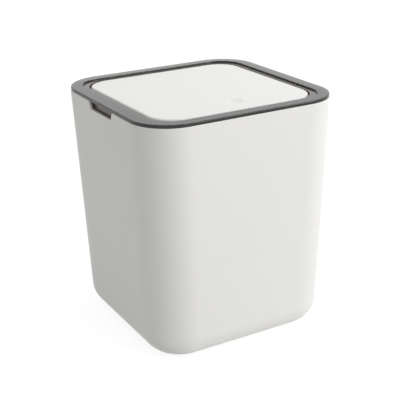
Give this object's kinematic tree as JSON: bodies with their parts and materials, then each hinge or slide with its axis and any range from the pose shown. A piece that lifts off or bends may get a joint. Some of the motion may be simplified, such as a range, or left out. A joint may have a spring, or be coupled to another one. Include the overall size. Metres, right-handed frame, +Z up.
{
  "type": "push top countertop bin",
  "caption": "Rounded-square countertop bin with a drafted body and a lift-off frame whose lid is pushed to release a latch and springs open.",
  "frame": {"origin": "centre of the base, on the surface it stands on", "axes": "+Z up, -Y towards the front where the lid is pushed and opens, +X right"},
  "size_m": [0.1728, 0.1708, 0.2],
  "materials": {
    "white_shell": "satin moulded",
    "white_lid": "satin moulded",
    "smoke_gloss": "polished, smoke tinted",
    "smoke_satin": "moulded, smoke tinted",
    "black_acetal": "moulded",
    "zinc_steel": "zinc plated",
    "spring_steel": "drawn wire",
    "buffer_rubber": "moulded rubber"
  },
  "bodies": {
    "bin": {"bin_body": "white_shell"},
    "frame": {"frame_cover": "smoke_gloss", "frame_carrier": "smoke_satin", "lid_buffers": "buffer_rubber", "latch_housing": "black_acetal", "latch_back_cover": "black_acetal", "latch_spring": "spring_steel", "latch_follower": "spring_steel", "latch_screws": "zinc_steel", "torsion_spring_left": "spring_steel", "torsion_spring_right": "spring_steel"},
    "pins": {"pivot_pin_left": "zinc_steel", "pivot_pin_right": "zinc_steel"},
    "lid": {"lid_panel": "white_lid", "lid_tray": "white_lid", "lid_screws": "zinc_steel", "latch_striker": "black_acetal", "striker_screws": "zinc_steel"},
    "latch": {"latch_slider": "black_acetal"}
  },
  "joints": [
    {"name": "frame_lift", "type": "slide", "parent": "bin", "child": "frame", "axis": [0, 0, 1], "range_m": [0, 0.04]},
    {"name": "lid_press", "type": "hinge", "parent": "frame", "child": "pins", "pos_m": [0, 0.0424, 0.1906], "axis": [-1, 0, 0], "range_deg": [-1.12, 2.05]},
    {"name": "lid_swing", "type": "hinge", "parent": "pins", "child": "lid", "pos_m": [0, 0.0424, 0.1906], "axis": [-1, 0, 0], "range_deg": [0, 80]},
    {"name": "latch_slide", "type": "slide", "parent": "frame", "child": "latch", "axis": [0, 0, 1], "range_m": [-0.00207, 0.00378], "stiffness_N_per_m": 1500, "deforming": ["latch_spring"]}
  ],
  "couplings": [
    {"joint": "lid_press", "follows": "latch_slide", "rad_per_m": 9.4518}
  ]
}
